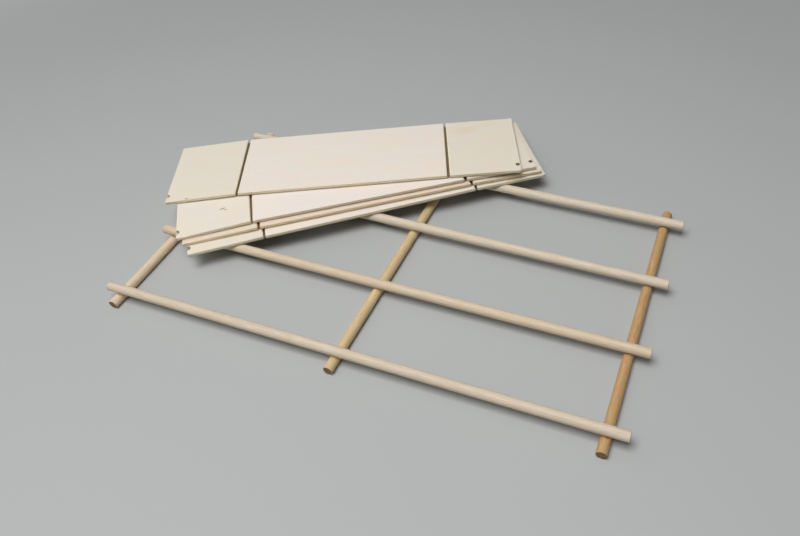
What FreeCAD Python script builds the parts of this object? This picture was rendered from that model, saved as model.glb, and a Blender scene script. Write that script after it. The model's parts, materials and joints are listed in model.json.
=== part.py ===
import FreeCAD, Part
import math
import os
from collections import namedtuple

# A lap loom laid out on a table: four long dowels pegged on top of three cross dowels, and four
# three-leaf plywood boards stacked loose on the back left of the dowels.
# Millimetres and degrees. +X runs along the long dowels to the right, +Y to the back, +Z up.
# Plan positions are first measured from the front right crossing, and the whole object is then
# moved so that the origin is the middle of its outline on the table.

# ---- dowels ----
dowel_diameter = 12.0
dowel_end_bevel = 0.6
long_dowel_length = 650.0
long_dowel_pitch = 108.0
long_dowel_right_overhang = 23.5
long_dowel_turns = (0.4, 0.2, -0.3, -0.5)
cross_dowel_length = 370.0
cross_dowel_pitch = 307.0
cross_dowel_front_overhang = 20.0
cross_dowel_turns = (0.2, -0.3, 0.1)
cross_dowel_names = ("left", "middle", "right")

# ---- pegs through the crossings ----
peg_diameter = 4.0
peg_bottom_height = 1.0
peg_top_height = 20.0
peg_tip_room = 0.5

# ---- boards ----
ply_thickness = 4.5
board_width = 122.0
centre_length = 284.0
flap_length = 97.0
hinge_gap = 3.0
corner_radius = 1.2
edge_radius = 0.4
hinge_edge_radius = 2.0

# ---- leather hinge strips glued under the gaps ----
strip_thickness = 1.2
strip_lap = 8.5
strip_end_inset = 2.0
rest_clearance = 0.3

# ---- cord hole in the right flap of the upper boards, open notch in every left flap ----
pierced_boards = ("top_board", "second_board")
cord_hole_diameter = 5.6
cord_hole_from_end = 3.6
cord_hole_from_front = 13.2
notch_radius = 3.7
notch_from_end = 0.6
notch_from_front = 12.0

# ---- how each board lies in the stack, from the top down ----
# x, y: middle of the centre leaf; turn: of the whole board; droop and skew: of each flap
Lie = namedtuple("Lie", "name x y turn left_droop right_droop left_skew right_skew")
boards = (
    Lie("top_board", -442.0, 288.0, 24.8, 3.0, 1.0, 0.4, 0.3),
    Lie("second_board", -417.0, 268.0, 34.6, 2.25, 1.9, 1.0, 0.7),
    Lie("third_board", -408.0, 267.0, 35.3, 1.5, 1.9, 0.2, 0.2),
    Lie("bottom_board", -400.0, 261.5, 37.0, 0.75, 1.6, 0.4, -0.2),
)

dowel_radius = dowel_diameter / 2
cross_axis_height = dowel_radius
long_axis_height = dowel_diameter + dowel_radius
board_pitch = ply_thickness + strip_thickness + rest_clearance
hinge_offset = (centre_length + hinge_gap) / 2
board_end = centre_length / 2 + hinge_gap + flap_length

UP = FreeCAD.Vector(0, 0, 1)
ALONG_WIDTH = FreeCAD.Vector(0, 1, 0)
ORIGIN = FreeCAD.Vector(0, 0, 0)


def rounded_rectangle(x0, x1, y0, y1, radii):
    """Face in the XY plane; radii go round the corners from (x0, y0) through (x1, y0)."""
    corners = ((x0, y0, 0), (x1, y0, 90), (x1, y1, 180), (x0, y1, 270))
    arcs = []
    for (x, y, first), radius in zip(corners, radii):
        inward = FreeCAD.Vector(radius, 0, 0)
        middle = FreeCAD.Vector(x, y, 0) + turned(inward, first) + turned(inward, first + 90)
        rim = [middle + turned(inward, first + angle) for angle in (180, 225, 270)]
        arcs.append(Part.Arc(*rim).toShape())
    edges = []
    for arc, following in zip(arcs, arcs[1:] + arcs[:1]):
        edges += [arc, Part.makeLine(arc.Vertexes[-1].Point, following.Vertexes[0].Point)]
    return Part.Face(Part.Wire(edges))


def turned(vector, angle):
    """The vector turned about Z."""
    return FreeCAD.Rotation(UP, angle).multVec(vector)


# ---- dowels and pegs ----

def dowel(length):
    """A dowel along +X from the origin, with both ends bevelled."""
    rod = Part.makeCylinder(dowel_radius, length, ORIGIN, FreeCAD.Vector(1, 0, 0))
    rims = [edge for edge in rod.Edges if isinstance(edge.Curve, Part.Circle)]
    return rod.makeChamfer(dowel_end_bevel, rims)


def laid_dowel(length, middle, turn):
    """A dowel lying level with its middle at a point, turned from +X."""
    rod = dowel(length)
    rod.translate(FreeCAD.Vector(-length / 2, 0, 0))
    rod.rotate(ORIGIN, UP, turn)
    rod.translate(middle)
    return rod


def long_dowel_middle(index):
    x = long_dowel_right_overhang - long_dowel_length / 2
    return FreeCAD.Vector(x, index * long_dowel_pitch, long_axis_height)


def cross_dowel_middle(index):
    x = (index - len(cross_dowel_names) + 1) * cross_dowel_pitch
    y = cross_dowel_length / 2 - cross_dowel_front_overhang
    return FreeCAD.Vector(x, y, cross_axis_height)


def crossing(long_index, cross_index):
    """Plan position where a long dowel's axis passes over a cross dowel's axis."""
    start = long_dowel_middle(long_index)
    reach = cross_dowel_middle(cross_index) - start
    turn = math.radians(long_dowel_turns[long_index])
    other = math.radians(cross_dowel_turns[cross_index])
    along = (reach.x * math.cos(other) + reach.y * math.sin(other)) / math.cos(turn - other)
    return FreeCAD.Vector(start.x + along * math.cos(turn), start.y + along * math.sin(turn), 0)


def upright_rod(diameter, place, bottom, top):
    return Part.makeCylinder(diameter / 2, top - bottom, place + FreeCAD.Vector(0, 0, bottom), UP)


def dowel_grid():
    """The seven dowels, drilled for their pegs, and the pegs as one group."""
    longs = range(len(long_dowel_turns))
    crosses = range(len(cross_dowel_names))
    places = {(i, j): crossing(i, j) for i in longs for j in crosses}
    drilled_to = peg_top_height + peg_tip_room
    drill = {key: upright_rod(peg_diameter, place, 0, drilled_to) for key, place in places.items()}
    shapes = {}
    for i, turn in enumerate(long_dowel_turns):
        rod = laid_dowel(long_dowel_length, long_dowel_middle(i), turn)
        shapes[f"long_dowel_{i + 1}"] = rod.cut([drill[i, j] for j in crosses])
    for j, turn in enumerate(cross_dowel_turns):
        rod = laid_dowel(cross_dowel_length, cross_dowel_middle(j), 90 + turn)
        shapes[f"{cross_dowel_names[j]}_cross_dowel"] = rod.cut([drill[i, j] for i in longs])
    pegs = [upright_rod(peg_diameter, place, peg_bottom_height, peg_top_height)
            for place in places.values()]
    shapes["crossing_pegs"] = Part.makeCompound(pegs)
    return shapes


# ---- boards: u along the board, v across it to the back, the underside at z = 0 ----

def leaf(u0, u1, start_radius, end_radius):
    """One plywood leaf: its side, plan and end outlines, each with rounded corners, in common."""
    side_radii = (start_radius, end_radius, end_radius, start_radius)
    side = rounded_rectangle(u0, u1, 0, ply_thickness, side_radii)
    side.rotate(ORIGIN, FreeCAD.Vector(1, 0, 0), 90)
    side.translate(FreeCAD.Vector(0, board_width / 2, 0))
    plan = rounded_rectangle(u0, u1, -board_width / 2, board_width / 2, [corner_radius] * 4)
    end = rounded_rectangle(-board_width / 2, board_width / 2, 0, ply_thickness, [edge_radius] * 4)
    end.rotate(ORIGIN, FreeCAD.Vector(1, 1, 1), 120)
    end.translate(FreeCAD.Vector(u0, 0, 0))
    from_side = side.extrude(FreeCAD.Vector(0, -board_width, 0))
    from_plan = plan.extrude(FreeCAD.Vector(0, 0, ply_thickness))
    from_end = end.extrude(FreeCAD.Vector(u1 - u0, 0, 0))
    return from_side.common(from_plan).common(from_end)


def drilled(shape, diameter, u, v):
    place = FreeCAD.Vector(u, v, 0)
    return shape.cut(upright_rod(diameter, place, -1, ply_thickness + 1))


def left_flap():
    """The left flap, whose cord hole has broken out through the end."""
    flap = leaf(-board_end, flap_length - board_end, edge_radius, hinge_edge_radius)
    u = notch_from_end - board_end
    return drilled(flap, 2 * notch_radius, u, notch_from_front - board_width / 2)


def right_flap(pierced):
    """The right flap, plain or with a cord hole close to its end."""
    flap = leaf(board_end - flap_length, board_end, hinge_edge_radius, edge_radius)
    if not pierced:
        return flap
    u = board_end - cord_hole_from_end
    return drilled(flap, cord_hole_diameter, u, cord_hole_from_front - board_width / 2)


def settled(shape, side, droop, skew):
    """A flap skewed about the hinge's middle and let down about the hinge axis."""
    hinge = FreeCAD.Vector(side * hinge_offset, 0, -strip_thickness / 2)
    shape.rotate(hinge, UP, skew)
    shape.rotate(hinge, ALONG_WIDTH, side * droop)
    return shape


def hinge_strip(side, droop):
    """The leather strip under one gap, bent at the hinge axis by the flap's droop."""
    half = strip_thickness / 2
    reach = hinge_gap / 2 + strip_lap
    bend = half * math.tan(math.radians(droop / 2))
    let_down = FreeCAD.Rotation(ALONG_WIDTH, side * droop)
    points = [
        FreeCAD.Vector(-side * reach, 0, half),
        FreeCAD.Vector(side * bend, 0, half),
        let_down.multVec(FreeCAD.Vector(side * reach, 0, half)),
        let_down.multVec(FreeCAD.Vector(side * reach, 0, -half)),
        FreeCAD.Vector(-side * bend, 0, -half),
        FreeCAD.Vector(-side * reach, 0, -half),
    ]
    width = board_width - 2 * strip_end_inset
    start = FreeCAD.Vector(side * hinge_offset, -width / 2, -half)
    outline = Part.makePolygon([start + point for point in points + points[:1]])
    return Part.Face(outline).extrude(FreeCAD.Vector(0, width, 0))


def board(lie, height):
    """The five pieces of one board, placed in the stack."""
    centre = leaf(-centre_length / 2, centre_length / 2, hinge_edge_radius, hinge_edge_radius)
    right = right_flap(lie.name in pierced_boards)
    pieces = {
        "centre": centre,
        "left_flap": settled(left_flap(), -1, lie.left_droop, lie.left_skew),
        "right_flap": settled(right, 1, lie.right_droop, lie.right_skew),
        "left_hinge_strip": hinge_strip(-1, lie.left_droop),
        "right_hinge_strip": hinge_strip(1, lie.right_droop),
    }
    for shape in pieces.values():
        shape.rotate(ORIGIN, UP, lie.turn)
        shape.translate(FreeCAD.Vector(lie.x, lie.y, height))
    return {f"{lie.name}_{name}": shape for name, shape in pieces.items()}


def board_height(level):
    """Height of a board's underside; level 0 is the bottom board."""
    return 2 * dowel_diameter + board_pitch - ply_thickness + level * board_pitch


# ---- the whole object ----

def assembly():
    shapes = dowel_grid()
    for level, lie in enumerate(reversed(boards)):
        shapes.update(board(lie, board_height(level)))
    return shapes


def outline_middle(shapes):
    box = Part.makeCompound(list(shapes.values())).optimalBoundingBox()
    return FreeCAD.Vector((box.XMin + box.XMax) / 2, (box.YMin + box.YMax) / 2, 0)


def main():
    shapes = assembly()
    middle = outline_middle(shapes)
    os.makedirs("parts", exist_ok=True)
    for name, shape in shapes.items():
        shape.translate(-middle)
        shape.exportStep(f"parts/{name}.step")
        print(name, "solids", len(shape.Solids), "volume", round(shape.Volume, 1))


main()
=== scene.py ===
import json
import math
from collections import namedtuple

import bpy
from bpy.props import FloatProperty, FloatVectorProperty, IntProperty, PointerProperty
from bpy.types import Operator, Panel, PropertyGroup
from mathutils import Matrix, Vector


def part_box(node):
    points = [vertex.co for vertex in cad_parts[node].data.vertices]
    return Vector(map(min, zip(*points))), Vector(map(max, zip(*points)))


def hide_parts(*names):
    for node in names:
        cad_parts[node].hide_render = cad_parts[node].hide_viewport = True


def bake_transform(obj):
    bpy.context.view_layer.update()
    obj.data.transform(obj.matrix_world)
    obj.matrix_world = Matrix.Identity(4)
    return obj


bl_info = {
    "name": "Lap loom",
    "version": (1, 0, 0),
    "blender": (4, 5, 0),
    "location": "3D View > Sidebar > Loom",
    "description": "Wood, plywood and leather of a dowel loom with hinged boards, and its stage",
    "category": "Object",
}

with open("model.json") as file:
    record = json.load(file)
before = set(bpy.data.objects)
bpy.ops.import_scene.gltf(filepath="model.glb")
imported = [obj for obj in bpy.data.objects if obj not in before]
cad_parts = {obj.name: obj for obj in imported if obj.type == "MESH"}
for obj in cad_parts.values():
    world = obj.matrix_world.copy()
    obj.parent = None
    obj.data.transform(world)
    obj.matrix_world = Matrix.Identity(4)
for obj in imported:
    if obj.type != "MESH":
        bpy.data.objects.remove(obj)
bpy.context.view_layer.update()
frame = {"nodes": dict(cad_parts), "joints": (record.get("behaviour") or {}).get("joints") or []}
nodes = frame["nodes"]
joints = {joint["name"]: joint for joint in frame["joints"]}

BOARDS = ("top_board", "second_board", "third_board", "bottom_board")
LONG_DOWELS = tuple(f"long_dowel_{number}" for number in range(1, 5))
CROSS_DOWELS = ("left_cross_dowel", "middle_cross_dowel", "right_cross_dowel")
MM = 0.001
UP = Vector((0, 0, 1))

# Both are in millimetres from the middle of a leaf, along it and across it to the back.
Spot = namedtuple("Spot", "place size turn strength")
Hole = namedtuple("Hole", "place radius darkness")


def color_property(name, description, default):
    return FloatVectorProperty(name=name, description=description, default=default,
                               subtype="COLOR", size=3, min=0, max=1)


def length_property(name, description, default):
    return FloatProperty(name=name, description=description, default=default,
                         subtype="DISTANCE", unit="LENGTH", precision=4)


def angle_property(name, description, degrees):
    return FloatProperty(name=name, description=description, default=math.radians(degrees),
                         subtype="ANGLE", unit="ROTATION")


# ---- settings ----

class LoomDowelSettings(PropertyGroup):
    pale: color_property("Pale dowel", "Base colour of the long dowels", (0.685, 0.60, 0.48))
    sand: color_property("Sand dowel", "Base colour of the left cross dowel", (0.75, 0.625, 0.47))
    golden: color_property("Golden dowel", "Base colour of the middle cross dowel",
                           (0.68, 0.54, 0.325))
    amber: color_property("Amber dowel", "Base colour of the right cross dowel",
                          (0.53, 0.36, 0.182))
    end_grain: color_property("End grain", "Colour of the darker sawn ends", (0.27, 0.18, 0.10))
    peg: color_property("Peg", "Base colour of the crossing pegs", (0.50, 0.36, 0.20))
    grain_depth: length_property("Grain depth", "Height of the raised grain", 0.00006)


class LoomBoardSettings(PropertyGroup):
    centre: color_property("Centre leaf", "Face colour of the centre leaves",
                           (0.855, 0.785, 0.715))
    flap: color_property("Flap", "Face colour of the flaps", (0.81, 0.75, 0.645))
    edge: color_property("Edge", "Colour of the layered edges", (0.95, 0.86, 0.68))
    core: color_property("Core layer", "Colour of the darker cross-grain layers",
                         (0.46, 0.35, 0.21))
    stain: color_property("Stain", "Colour of a faint warm stain", (0.80, 0.60, 0.38))
    mark: color_property("Mark", "Colour of nicks and smudges", (0.10, 0.08, 0.07))
    # Painted shade: this colour darkens the walls of the cord holes and notches, standing in for
    # the shade inside them.
    hole_shade: color_property("Hole shade", "Colour of the walls of the cord holes", (0.20, 0.15, 0.10))
    layers: IntProperty(name="Layers", description="Veneer layers in the thickness", default=5,
                        min=3, max=9)
    grain_depth: length_property("Grain depth", "Height of the raised grain", 0.00003)


class LoomHingeSettings(PropertyGroup):
    leather: color_property("Leather", "Colour of the hinge strips", (0.19, 0.14, 0.09))
    worn: color_property("Worn leather", "Colour of the rubbed high spots", (0.40, 0.32, 0.23))
    edge_round: length_property("Edge round", "Radius of the strip's softened edges", 0.00025)
    bend_before: length_property("Bend before", "Reach of the bend under the centre leaf", 0.0004)
    bend_after: length_property("Bend after", "Reach of the bend under the flap", 0.0016)
    grain_depth: length_property("Grain depth", "Height of the pebbled grain", 0.00012)
    rows: IntProperty(name="Rows", description="Rows of faces across the bend", default=24, min=4)
    columns: IntProperty(name="Columns", description="Columns of faces along the hinge", default=12,
                         min=2)


class LoomStageSettings(PropertyGroup):
    floor: color_property("Floor", "Colour of the plain floor", (0.45, 0.462, 0.457))
    floor_radius: length_property("Floor radius", "Radius of the round floor", 6)
    surround: color_property("Surround", "Colour seen beyond the floor", (0.40, 0.411, 0.407))
    fade_start: length_property("Fade start", "Distance where the floor starts to fade", 0.7071)
    fade_end: length_property("Fade end", "Distance where only the surround is left", 1.5492)
    ambient: FloatProperty(name="Ambient", description="Strength of the even light", default=0.085,
                           min=0)
    key_power: FloatProperty(name="Key power", description="Power of the soft box overhead",
                             default=43.5, min=0, subtype="POWER", unit="POWER")
    key_place: FloatVectorProperty(name="Key place", description="Where the soft box hangs",
                                   default=(-0.10, -0.72, 2.20), subtype="TRANSLATION",
                                   unit="LENGTH", size=3)
    key_size: length_property("Key size", "Side of the square soft box", 1.35)
    fill_level: FloatProperty(name="Fill level", description="Strength of the broad fill light",
                              default=0.62, min=0)
    fill_lean_left: angle_property("Fill lean left", "Lean of the fill light to the left", 35)
    fill_lean_front: angle_property("Fill lean front", "Lean of the fill light to the front", 5)
    fill_softness: angle_property("Fill softness", "Width of the fill light in the sky", 90)
    camera_place: FloatVectorProperty(name="Camera place", description="Where the camera stands",
                                      default=(0.3661, -0.5990, 0.6443), subtype="TRANSLATION",
                                      unit="LENGTH", size=3)
    azimuth: angle_property("Azimuth", "Turn of the view from straight back", 24.98)
    elevation: angle_property("Elevation", "How far the camera looks down", 45.16)
    roll: angle_property("Roll", "Tilt of the camera about its view", -4.92)
    focal_length: FloatProperty(name="Focal length", description="Lens length on a 36 mm sensor",
                                default=31.74, unit="CAMERA")
    shift_x: FloatProperty(name="Shift X", description="Sideways lens shift", default=-0.0748)
    shift_y: FloatProperty(name="Shift Y", description="Upward lens shift", default=-0.0158)


# ---- shader writing ----

class Wire:
    """A shader socket that takes part in Python expressions on values."""

    def __init__(self, paint, socket):
        self.paint = paint
        self.socket = socket

    def _math(self, operation, *values):
        return self.paint.node("ShaderNodeMath", {"operation": operation},
                               {place: value for place, value in enumerate(values)})

    def __add__(self, other):
        return self._math("ADD", self, other)

    def __sub__(self, other):
        return self._math("SUBTRACT", self, other)

    def __rsub__(self, other):
        return self._math("SUBTRACT", other, self)

    def __mul__(self, other):
        return self._math("MULTIPLY", self, other)

    def __truediv__(self, other):
        return self._math("DIVIDE", self, other)

    def __pow__(self, other):
        return self._math("POWER", self, other)

    def __abs__(self):
        return self._math("ABSOLUTE", self)

    def __mod__(self, other):
        return self._math("FLOORED_MODULO", self, other)

    def sine(self):
        return self._math("SINE", self)

    def floor(self):
        return self._math("FLOOR", self)

    def step(self, low, high):
        """0 at low, 1 at high and smooth between."""
        return self.paint.node("ShaderNodeMapRange", {"interpolation_type": "SMOOTHSTEP"},
                               {"Value": self, "From Min": low, "From Max": high})

    __radd__ = __add__
    __rmul__ = __mul__


class Paint:
    """A material in the making, with a Principled shader at its end."""

    def __init__(self, name):
        self.material = bpy.data.materials.new(name)
        self.material.use_nodes = True
        self.tree = self.material.node_tree
        self.tree.nodes.clear()
        self.shader = self.tree.nodes.new("ShaderNodeBsdfPrincipled")
        output = self.tree.nodes.new("ShaderNodeOutputMaterial")
        self.tree.links.new(self.shader.outputs[0], output.inputs[0])

    def node(self, kind, settings=None, inputs=None, output=0):
        """Adds a node, sets it up, feeds its sockets and gives back one of its outputs."""
        made = self.tree.nodes.new(kind)
        for key, value in (settings or {}).items():
            setattr(made, key, value)
        for key, value in (inputs or {}).items():
            self.feed(made.inputs[key], value)
        return Wire(self, made.outputs[output])

    def feed(self, socket, value):
        if isinstance(value, Wire):
            self.tree.links.new(value.socket, socket)
        elif socket.type == "RGBA" and len(value) == 3:
            socket.default_value = (*value, 1)
        else:
            socket.default_value = value

    def finish(self, **values):
        """Feeds the shader's own sockets; underscores stand for spaces."""
        for key, value in values.items():
            self.feed(self.shader.inputs[key.replace("_", " ")], value)
        return self.material

    def mixed(self, factor, first, second, blend="MIX"):
        """Colours mixed by a factor."""
        settings = {"data_type": "RGBA", "blend_type": blend}
        return self.node("ShaderNodeMix", settings, {0: factor, 6: first, 7: second}, output=2)

    def placed(self, axes, middle):
        """Object coordinates in millimetres along a piece's own axes, from its middle."""
        turn = Matrix(axes)
        inputs = {
            "Vector": self.node("ShaderNodeTexCoord", output="Object"),
            "Location": -(turn @ middle) / MM,
            "Rotation": turn.to_euler(),
            "Scale": (1 / MM,) * 3,
        }
        return self.node("ShaderNodeMapping", inputs=inputs)

    def split(self, vector):
        parts = self.node("ShaderNodeSeparateXYZ", inputs={0: vector})
        return [Wire(self, socket) for socket in parts.socket.node.outputs]

    def stretched(self, vector, scale, offset=(0, 0, 0)):
        """A vector scaled along each axis."""
        settings = {"operation": "MULTIPLY_ADD"}
        return self.node("ShaderNodeVectorMath", settings, {0: vector, 1: scale, 2: offset})

    def noise(self, vector, detail=3.0, roughness=0.55, distortion=0.0):
        inputs = {"Vector": vector, "Scale": 1.0, "Detail": detail, "Roughness": roughness,
                  "Distortion": distortion}
        return self.node("ShaderNodeTexNoise", inputs=inputs)

    def bumped(self, height, distance):
        inputs = {"Height": height, "Distance": distance, "Strength": 1.0}
        return self.node("ShaderNodeBump", inputs=inputs)


# ---- where the pieces are ----

def largest_normal(piece, direction, least=0.98):
    """The normal of the piece's largest face that points along a direction."""
    facing = [face for face in piece.data.polygons if face.normal.dot(direction) > least]
    return max(facing, key=lambda face: face.area).normal.copy()


def extent(piece, axes):
    """Middle and half sizes of a piece along its own axes."""
    turn = Matrix(axes)
    points = [turn @ vertex.co for vertex in piece.data.vertices]
    low = Vector(min(point[i] for point in points) for i in range(3))
    high = Vector(max(point[i] for point in points) for i in range(3))
    return turn.transposed() @ ((low + high) / 2), (high - low) / 2


def leaf_frame(node, board):
    """A leaf's axes (along the board, to its back, up), its middle and its half sizes."""
    piece = nodes[node]
    across = Vector(joints[f"{board}_left_fold"]["axis"])
    up = largest_normal(piece, UP)
    back = largest_normal(piece, across)
    return ((back.cross(up), back, up), *extent(piece, (back.cross(up), back, up)))


def dowel_frame(node):
    """A dowel's axes (along it, level across it, up), its middle and its half sizes."""
    piece = nodes[node]
    box_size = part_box(node)[1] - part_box(node)[0]
    rough = Vector((1, 0, 0)) if box_size.x > box_size.y else Vector((0, 1, 0))
    along = largest_normal(piece, rough)
    axes = (along, UP.cross(along), UP)
    return (axes, *extent(piece, axes))


def dress(node, material):
    """Gives a CAD node its finished material."""
    slots = nodes[node].data.materials
    slots.clear()
    slots.append(material)


# ---- finishes ----

def shaded(color, factors):
    """A colour with each channel scaled, and kept within range."""
    return tuple(min(1, channel * factor) for channel, factor in zip(color, factors))


def dowel_wood(name, place, color, end_color, seed, figure):
    """Round sanded dowel: streaks and pores run along it, with end grain on its sawn ends."""
    settings = bpy.context.scene.loom_dowels
    axes, middle, half = place
    paint = Paint(name)
    local = paint.placed(axes, middle)
    along, across, up = paint.split(local)
    streaks = paint.noise(paint.stretched(local, (0.045, 0.60, 0.60), (seed, 0, 0)), 5, 0.62, 0.3)
    dashes = paint.noise(paint.stretched(local, (0.07, 1.5, 1.5), (seed, 8, 2)), 3, 0.6)
    dashes = dashes.step(0.56, 0.68)
    fibres = paint.noise(paint.stretched(local, (0.10, 2.6, 2.6), (seed, 3, 7)), 3, 0.65)
    mottle = paint.noise(paint.stretched(local, (0.09, 0.20, 0.20), (seed, 9, 1)), 3, 0.6)
    patches = paint.noise(paint.stretched(local, (0.022, 0.06, 0.06), (seed, 6, 4)), 2)
    rings = ((across + up * 0.35 + streaks * 6) * 1.7 + along * 0.004).sine()
    pores = paint.noise(paint.stretched(local, (0.16, 4.0, 4.0), (seed, 1, 2)), 1).step(0.62, 0.74)
    light = shaded(color, (1.10, 1.11, 1.12))
    dark = shaded(color, (0.78, 0.70, 0.60))
    tone = (0.38 + (streaks - 0.5) * 1.5 * figure + (fibres - 0.5) * 0.7 * figure
            + rings * 0.05 * figure)
    wood = paint.mixed(tone.step(0, 1), light, dark)
    ruddy = shaded(color, (1.07, 0.96 - 0.05 * figure, 0.90 - 0.09 * figure))
    olive = shaded(color, (0.98, 0.985 - 0.01 * figure, 0.92 - 0.05 * figure))
    wood = paint.mixed((mottle - 0.45).step(0, 0.12) * min(0.9, 0.60 * figure), wood, ruddy)
    wood = paint.mixed((0.50 - patches).step(0, 0.12) * min(0.9, 0.60 * figure), wood, olive)
    wood = paint.mixed(pores * min(0.5, 0.30 * figure), wood, dark)
    wood = paint.mixed(dashes * 0.32 * (figure - 0.5), wood, shaded(dark, (0.72, 0.64, 0.56)))
    radius = (across * across + up * up) ** 0.5
    sawn = abs(along).step(half[0] / MM - 0.25, half[0] / MM - 0.05)
    year_lines = (paint.noise(paint.stretched(local, (0, 0.8, 0.8), (seed, 5, 5)), 2) * 9
                  + radius * 2.2).sine()
    speckle = paint.noise(paint.stretched(local, (0.4, 2.6, 2.6), (seed, 5, 5)), 3)
    end = paint.mixed((0.35 + year_lines * 0.25 + (speckle - 0.5)).step(0, 1), end_color,
                      shaded(end_color, (0.6, 0.55, 0.5)))
    height = fibres * 0.6 + streaks * 0.4 - pores * 0.5 + speckle * sawn
    return paint.finish(
        Base_Color=paint.mixed(sawn, wood, end),
        Roughness=0.55 + (streaks - 0.5) * 0.25 + sawn * 0.2,
        Normal=paint.bumped(height, settings.grain_depth),
        Specular_IOR_Level=0.35,
    )


def spread(u, v, spot):
    """A soft elongated spot: 1 in its middle, 0 at its rim."""
    cosine, sine = math.cos(spot.turn), math.sin(spot.turn)
    along = ((u - spot.place[0]) * cosine + (v - spot.place[1]) * sine) / spot.size[0]
    across = ((v - spot.place[1]) * cosine - (u - spot.place[0]) * sine) / spot.size[1]
    return 1 - ((along * along + across * across) ** 0.5).step(0.25, 1)


def plywood(name, place, color, edge_tint, seed, marks=(), stains=(), hole=None):
    """Sanded plywood: faint lengthwise figure on the faces, thin veneer layers on the edges, with
    painted shade along the bottom of the edges and in the holes.
    """
    settings = bpy.context.scene.loom_boards
    axes, middle, half = place
    paint = Paint(name)
    local = paint.placed(axes, middle)
    u, v, w = paint.split(local)
    half_depth = half[2] / MM
    figure = paint.noise(paint.stretched(local, (0.009, 0.10, 0.4), (seed, 0, 0)), 5, 0.6, 0.5)
    fibres = paint.noise(paint.stretched(local, (0.05, 1.6, 1.6), (seed, 4, 0)), 3, 0.65)
    clouds = paint.noise(paint.stretched(local, (0.014, 0.020, 0.020), (0, seed, 0)), 3)
    blush = paint.noise(paint.stretched(local, (0.030, 0.045, 0.045), (seed, seed, 5)), 2)
    pores = paint.noise(paint.stretched(local, (0.10, 2.4, 2.4), (seed, 8, 3)), 1).step(0.66, 0.78)
    tone = 0.35 + (figure - 0.5) * 0.6 + (fibres - 0.5) * 0.30
    face = paint.mixed(tone.step(0, 1), color, shaded(color, (0.94, 0.915, 0.88)))
    face = paint.mixed((clouds - 0.42).step(0, 0.22) * 0.8, face,
                       shaded(color, (1.0, 0.985, 0.91)))
    face = paint.mixed((blush - 0.50).step(0, 0.18) * 0.7, face,
                       shaded(color, (1.02, 0.955, 0.915)))
    face = paint.mixed(pores * 0.20, face, settings.edge)
    for stain in stains:
        face = paint.mixed(spread(u, v, stain) * stain.strength, face, settings.stain)
    for mark in marks:
        scratch = spread(u, v, mark) * (0.3 + fibres)
        face = paint.mixed(scratch.step(0, 0.8) * mark.strength, face, settings.mark)
    edge = shaded(settings.edge, edge_tint)
    core = shaded(settings.core, edge_tint)
    layer = (w + half_depth) * (settings.layers / (2 * half_depth))
    glue = 1 - (0.5 - abs(layer % 1 - 0.5)).step(0.02, 0.14)
    grain = paint.noise(paint.stretched(local, (0.30, 0.30, 2.2), (seed, 2, 9)), 4, 0.7)
    flecks = paint.noise(paint.stretched(local, (0.05, 0.05, 0.9), (seed, 7, 2)), 3)
    cut = paint.mixed((grain - 0.38).step(0, 0.45) * 0.45, edge, core)
    cut = paint.mixed((layer.floor() % 2) * (0.10 + flecks * 0.36), cut, core)
    cut = paint.mixed(glue * 0.40, cut, core)
    # Painted shade: the lowest millimetre or so of each edge is darkened toward the core colour,
    # standing in for the shadow in the gap below the board.
    cut = paint.mixed((1 - (w + half_depth).step(0.4, 1.1)) * 0.6, cut, core)
    on_face = abs(w).step(half_depth - 0.30, half_depth - 0.02)
    height = (figure * 0.5 + fibres * 0.5) * on_face + (grain - glue * 0.6) * (1 - on_face)
    wood = paint.mixed(on_face, cut, face)
    # Painted shade: a hole's wall and a thin rim around it are darkened toward the hole shade
    # colour, standing in for the shade inside the cord hole or notch.
    if hole:
        along, across = u - hole.place[0], v - hole.place[1]
        reach = (along * along + across * across) ** 0.5
        wall = 1 - reach.step(hole.radius + 0.05, hole.radius + 0.25)
        wood = paint.mixed(wall * hole.darkness, wood, settings.hole_shade)
    return paint.finish(
        Base_Color=wood,
        Roughness=0.60 + (figure - 0.5) * 0.2 + (1 - on_face) * 0.18,
        Normal=paint.bumped(height, settings.grain_depth),
        Specular_IOR_Level=0.3,
    )


def hinge_leather(name, place):
    """Dark leather: pebbled, rubbed lighter on its high spots."""
    settings = bpy.context.scene.loom_hinges
    paint = Paint(name)
    local = paint.placed(*place)
    pebbles = paint.node("ShaderNodeTexVoronoi", {"feature": "DISTANCE_TO_EDGE"},
                         {"Vector": local, "Scale": 1.3})
    creases = paint.noise(paint.stretched(local, (0.9, 0.25, 0.9)), 4, 0.6)
    rubbed = pebbles.step(0.05, 0.35) * (creases - 0.35).step(0, 0.4)
    return paint.finish(
        Base_Color=paint.mixed(rubbed * 0.5, settings.leather, settings.worn),
        Roughness=0.66 - rubbed * 0.14,
        Normal=paint.bumped(pebbles.step(0, 0.3) + creases * 0.4, settings.grain_depth),
    )


# ---- operators ----

class LOOM_OT_long_dowels(Operator):
    """Finish the four pale long dowels"""
    bl_idname = "loom.long_dowels"
    bl_label = "Long dowels"

    TINTS = ((0.99, 0.99, 1.00), (1.00, 0.97, 0.93), (1.02, 1.03, 1.05), (1.03, 1.05, 1.08))

    def execute(self, context):
        settings = context.scene.loom_dowels
        for number, (node, tint) in enumerate(zip(LONG_DOWELS, self.TINTS)):
            place = dowel_frame(node)
            color = shaded(settings.pale, tint)
            end = shaded(color, (0.72, 0.68, 0.62))
            dress(node, dowel_wood(node, place, color, end, 11 + 7 * number, 0.8))
        return {"FINISHED"}


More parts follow.
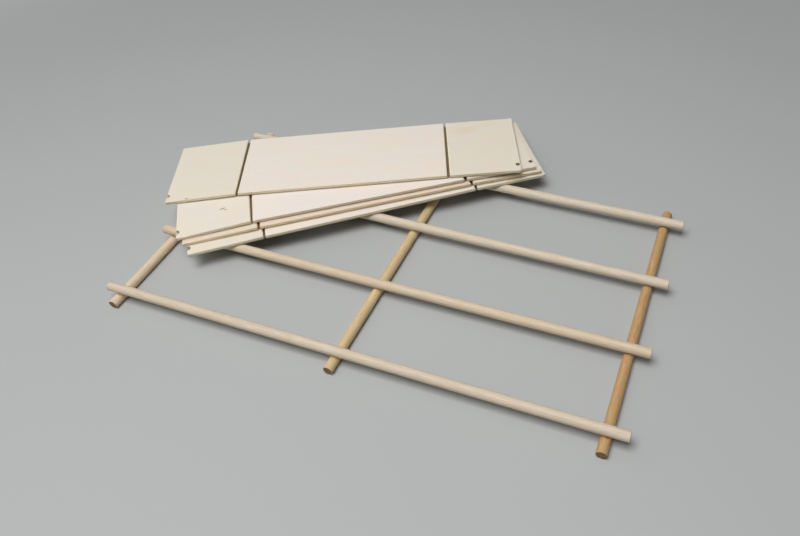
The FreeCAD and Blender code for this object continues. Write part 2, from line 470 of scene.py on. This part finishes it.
class LOOM_OT_cross_dowels(Operator):
    """Finish the three darker cross dowels"""
    bl_idname = "loom.cross_dowels"
    bl_label = "Cross dowels"

    def execute(self, context):
        settings = context.scene.loom_dowels
        finishes = ((settings.sand, 1.2), (settings.golden, 1.35), (settings.amber, 2.3))
        for number, (node, (color, figure)) in enumerate(zip(CROSS_DOWELS, finishes)):
            end = tuple(settings.end_grain)
            place = dowel_frame(node)
            dress(node, dowel_wood(node, place, tuple(color), end, 61 + 9 * number, figure))
        return {"FINISHED"}


class LOOM_OT_pegs(Operator):
    """Finish the hidden pegs through the crossings"""
    bl_idname = "loom.pegs"
    bl_label = "Crossing pegs"

    def execute(self, context):
        settings = context.scene.loom_dowels
        axes = (UP, Vector((1, 0, 0)), Vector((0, 1, 0)))
        place = (axes, *extent(nodes["crossing_pegs"], axes))
        color = tuple(settings.peg)
        dress("crossing_pegs", dowel_wood("crossing_pegs", place, color, color, 97, 1.0))
        return {"FINISHED"}


class LOOM_OT_boards(Operator):
    """Finish the plywood leaves of the four boards"""
    bl_idname = "loom.boards"
    bl_label = "Boards"

    EDGE_TINTS = {
        "top_board": (1.00, 1.00, 0.96),
        "second_board": (0.97, 0.94, 0.90),
        "third_board": (1.00, 0.90, 0.80),
        "bottom_board": (0.98, 1.02, 1.00),
    }
    FACE_TINTS = {
        "second_board_centre": (1.03, 1.03, 1.06),
        "second_board_left_flap": (1.03, 1.03, 1.06),
        "third_board_centre": (0.94, 0.88, 0.81),
        "third_board_left_flap": (0.97, 0.93, 0.88),
    }
    # The last number of each hole is the strength of the painted shade on its wall.
    NOTCH = Hole((-47.9, -49.0), 3.7, 0.35)
    CORD_HOLE = Hole((44.9, -47.8), 2.8, 0.7)
    HOLES = {
        **dict.fromkeys((f"{board}_left_flap" for board in BOARDS), NOTCH),
        "top_board_right_flap": CORD_HOLE,
        "second_board_right_flap": CORD_HOLE,
    }
    MARKS = {
        "second_board_left_flap": (Spot((12, -22), (6.0, 1.2), 0.28, 1.0),
                                   Spot((16.0, -25.5), (3.4, 1.1), -0.15, 0.9)),
        "top_board_left_flap": (Spot((-19, -58.6), (3.2, 1.3), 0.1, 0.9),),
        "top_board_right_flap": (Spot((22, -48), (5.0, 0.8), 0.0, 0.10),),
    }
    STAINS = {
        "top_board_right_flap": (Spot((-22, 40), (26, 13), 0.1, 0.35),
                                 Spot((12, 50), (30, 9), 0.0, 0.18)),
        "second_board_left_flap": (Spot((4, 40), (34, 12), 0.1, 0.2),),
        "second_board_centre": (Spot((-118, 36), (40, 10), 0.1, 0.2),),
    }

    def execute(self, context):
        settings = context.scene.loom_boards
        for level, board in enumerate(BOARDS):
            for number, part in enumerate(("centre", "left_flap", "right_flap")):
                node = f"{board}_{part}"
                color = settings.centre if part == "centre" else settings.flap
                color = shaded(color, self.FACE_TINTS.get(node, (1, 1, 1)))
                seed = 5 + 13 * level + 31 * number
                marks = self.MARKS.get(node, ())
                stains = self.STAINS.get(node, ())
                place = leaf_frame(node, board)
                tint = self.EDGE_TINTS[board]
                hole = self.HOLES.get(node)
                dress(node, plywood(node, place, color, tint, seed, marks, stains, hole))
        return {"FINISHED"}


class LOOM_OT_hinge_strips(Operator):
    """Model the leather strips that hinge the flaps"""
    bl_idname = "loom.hinge_strips"
    bl_label = "Hinge strips"

    def execute(self, context):
        for board in BOARDS:
            for side in ("left", "right"):
                self.strip(context.scene.loom_hinges, board, side)
        return {"FINISHED"}

    def strip(self, settings, board, side):
        """One strip: a flat grid made thick and soft-edged, let down past the hinge and placed.

        Its own axes are outward from the centre leaf to the flap, along the hinge, and up.
        """
        node = f"{board}_{side}_hinge_strip"
        joint = joints[f"{board}_{side}_fold"]
        hinge = Vector(joint["pos_m"])
        outward = UP.cross(Vector(joint["axis"]))
        axes = Matrix((outward, UP.cross(outward), UP))
        middle, half = extent(nodes[node], axes)
        flap_up = largest_normal(nodes[f"{board}_{side}_flap"], UP)
        droop = math.atan2(flap_up.dot(outward), flap_up.z)
        thickness = 2 * (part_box(f"{board}_centre")[0].z - hinge.z)
        bpy.ops.object.select_all(action="DESELECT")
        bpy.ops.mesh.primitive_grid_add(x_subdivisions=settings.rows, size=1,
                                        y_subdivisions=settings.columns)
        piece = bpy.context.object
        piece.name = f"{node}_leather"
        bpy.ops.object.mode_set(mode="EDIT")
        bpy.ops.mesh.select_all(action="SELECT")
        bpy.ops.transform.resize(value=(2 * half.x, 2 * half.y, 1))
        bpy.ops.object.mode_set(mode="OBJECT")
        self.thicken(piece, thickness, settings.edge_round)
        self.let_down(piece, droop)
        turn = axes.transposed().to_4x4()
        piece.data.transform(Matrix.Translation(hinge) @ turn)
        piece.data.materials.append(hinge_leather(piece.name, (axes, middle)))
        bpy.ops.object.shade_smooth_by_angle(angle=math.radians(35))
        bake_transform(piece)
        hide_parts(node)

    @staticmethod
    def thicken(piece, thickness, edge_round):
        solid = piece.modifiers.new("Thickness", "SOLIDIFY")
        solid.thickness = thickness
        solid.offset = 0
        bpy.ops.object.modifier_apply(modifier=solid.name)
        bevel = piece.modifiers.new("Edges", "BEVEL")
        bevel.width = edge_round
        bevel.segments = 2
        bevel.limit_method = "ANGLE"
        bpy.ops.object.modifier_apply(modifier=bevel.name)

    @staticmethod
    def let_down(piece, droop):
        """Turns the flap's half of the strip down about the hinge axis."""
        bpy.ops.object.mode_set(mode="EDIT")
        bpy.ops.mesh.select_all(action="DESELECT")
        bpy.ops.object.mode_set(mode="OBJECT")
        for vertex in piece.data.vertices:
            vertex.select = vertex.co.x > 0.01 * MM
        bpy.ops.object.mode_set(mode="EDIT")
        # With no window this operator turns the other way.
        bpy.ops.transform.rotate(value=-droop, orient_axis="Y", center_override=(0, 0, 0))
        bpy.ops.object.mode_set(mode="OBJECT")


class LOOM_OT_stage(Operator):
    """Set out the floor, the soft light and the camera"""
    bl_idname = "loom.stage"
    bl_label = "Stage"

    def execute(self, context):
        settings = context.scene.loom_stage
        self.floor(settings)
        self.surround(settings)
        self.key_light(settings)
        self.fill_light(settings)
        self.camera(settings)
        context.scene.view_settings.view_transform = "Standard"
        return {"FINISHED"}

    @staticmethod
    def floor(settings):
        """A plain floor that fades into the surround far from the loom."""
        bpy.ops.object.select_all(action="DESELECT")
        bpy.ops.mesh.primitive_circle_add(vertices=96, radius=settings.floor_radius,
                                          fill_type="NGON")
        piece = bpy.context.object
        piece.name = "floor"
        paint = Paint("floor")
        coordinates = paint.node("ShaderNodeTexCoord", output="Object")
        x, y, _ = paint.split(coordinates)
        distant = (x * x + y * y).step(settings.fade_start ** 2, settings.fade_end ** 2)
        black = (0, 0, 0)
        piece.data.materials.append(paint.finish(
            Base_Color=paint.mixed(distant, settings.floor, black),
            Emission_Color=paint.mixed(distant, black, settings.surround),
            Emission_Strength=1.0,
            Roughness=0.9,
        ))

    @staticmethod
    def surround(settings):
        world = bpy.data.worlds.new("Soft surround")
        bpy.context.scene.world = world
        world.use_nodes = True
        tree = world.node_tree
        tree.nodes.clear()
        light = tree.nodes.new("ShaderNodeBackground")
        light.inputs["Color"].default_value = (1, 1, 1, 1)
        light.inputs["Strength"].default_value = settings.ambient
        seen = tree.nodes.new("ShaderNodeBackground")
        seen.inputs["Color"].default_value = (*settings.surround, 1)
        path = tree.nodes.new("ShaderNodeLightPath")
        mix = tree.nodes.new("ShaderNodeMixShader")
        output = tree.nodes.new("ShaderNodeOutputWorld")
        tree.links.new(path.outputs["Is Camera Ray"], mix.inputs[0])
        tree.links.new(light.outputs[0], mix.inputs[1])
        tree.links.new(seen.outputs[0], mix.inputs[2])
        tree.links.new(mix.outputs[0], output.inputs[0])

    @staticmethod
    def key_light(settings):
        bpy.ops.object.light_add(type="AREA", location=settings.key_place)
        lamp = bpy.context.object
        lamp.name = "key_light"
        lamp.data.shape = "SQUARE"
        lamp.data.size = settings.key_size
        lamp.data.energy = settings.key_power

    @staticmethod
    def fill_light(settings):
        left, front = math.tan(settings.fill_lean_left), math.tan(settings.fill_lean_front)
        towards = Vector((-left, -front, 1))
        bpy.ops.object.light_add(type="SUN", location=towards)
        lamp = bpy.context.object
        lamp.name = "fill_light"
        lamp.data.energy = settings.fill_level
        lamp.data.angle = settings.fill_softness
        lamp.rotation_euler = towards.to_track_quat("Z", "Y").to_euler()

    @staticmethod
    def camera(settings):
        level, down = math.cos(settings.elevation), math.sin(settings.elevation)
        left, back = math.sin(settings.azimuth), math.cos(settings.azimuth)
        forward = Vector((-left * level, back * level, -down))
        side = forward.cross(UP).normalized()
        top = side.cross(forward)
        cosine, sine = math.cos(settings.roll), math.sin(settings.roll)
        right = side * cosine + top * sine
        above = top * cosine - side * sine
        data = bpy.data.cameras.new("camera")
        data.sensor_width = 36
        data.lens = settings.focal_length
        data.shift_x = settings.shift_x
        data.shift_y = settings.shift_y
        camera = bpy.data.objects.new("camera", data)
        bpy.context.scene.collection.objects.link(camera)
        turn = Matrix((right, above, -forward)).transposed().to_4x4()
        camera.matrix_world = Matrix.Translation(settings.camera_place) @ turn
        bpy.context.scene.camera = camera


# ---- panel ----

class LOOM_PT_sidebar(Panel):
    """Sizes and colours of the loom, and a button for each group of pieces"""
    bl_idname = "LOOM_PT_sidebar"
    bl_label = "Lap loom"
    bl_space_type = "VIEW_3D"
    bl_region_type = "UI"
    bl_category = "Loom"

    def draw(self, context):
        for name, group in SETTINGS.items():
            box = self.layout.box()
            for key in group.__annotations__:
                box.prop(getattr(context.scene, name), key)
        for operator in OPERATORS:
            self.layout.operator(operator.bl_idname)


SETTINGS = {
    "loom_dowels": LoomDowelSettings,
    "loom_boards": LoomBoardSettings,
    "loom_hinges": LoomHingeSettings,
    "loom_stage": LoomStageSettings,
}
OPERATORS = (
    LOOM_OT_stage,
    LOOM_OT_long_dowels,
    LOOM_OT_cross_dowels,
    LOOM_OT_pegs,
    LOOM_OT_boards,
    LOOM_OT_hinge_strips,
)
CLASSES = (*SETTINGS.values(), *OPERATORS, LOOM_PT_sidebar)


def register():
    for cls in CLASSES:
        bpy.utils.register_class(cls)
    for name, group in SETTINGS.items():
        setattr(bpy.types.Scene, name, PointerProperty(type=group))


def unregister():
    for name in SETTINGS:
        delattr(bpy.types.Scene, name)
    for cls in reversed(CLASSES):
        bpy.utils.unregister_class(cls)


def main():
    register()
    bpy.ops.loom.stage()
    bpy.ops.loom.long_dowels()
    bpy.ops.loom.cross_dowels()
    bpy.ops.loom.pegs()
    bpy.ops.loom.boards()
    bpy.ops.loom.hinge_strips()


if __name__ == "__main__":
    main()
